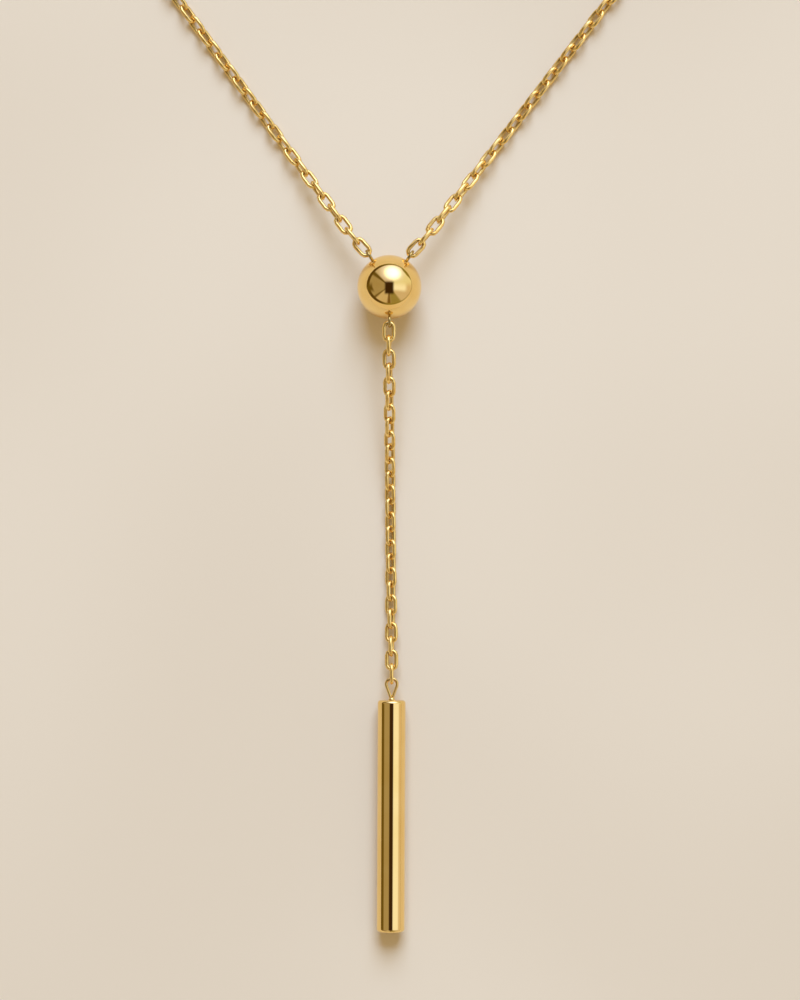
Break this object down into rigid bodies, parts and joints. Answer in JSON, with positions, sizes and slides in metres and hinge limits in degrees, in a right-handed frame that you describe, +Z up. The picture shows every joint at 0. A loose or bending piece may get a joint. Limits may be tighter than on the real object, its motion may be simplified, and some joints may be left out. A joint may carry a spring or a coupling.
{
  "type": "y necklace",
  "caption": "Gold cable-chain Y necklace lying flat: the neck chain runs from a polished ball round to a plain clasp, and a drop strand hangs a slim round bar.",
  "frame": {"origin": "on the surface that the necklace lies on, in the middle of its footprint", "axes": "+Z up from the surface; +Y along the loop's centreline, from the bar and ball to the clasp; +X to the viewer's right"},
  "size_m": [0.1149, 0.2345, 0.008],
  "materials": {
    "polished_ball": "mirror-polished yellow gold plate",
    "polished_bar": "polished yellow gold plate",
    "chain_gold": "bright yellow gold plate on fine wire",
    "clasp_gold": "polished yellow gold plate"
  },
  "bodies": {
    "root": {"ball": "polished_ball", "neck_chain_right": "chain_gold", "neck_chain_left": "chain_gold", "drop_chain": "chain_gold", "bar": "polished_bar", "clasp": "clasp_gold", "end_ring": "clasp_gold"}
  },
  "joints": []
}
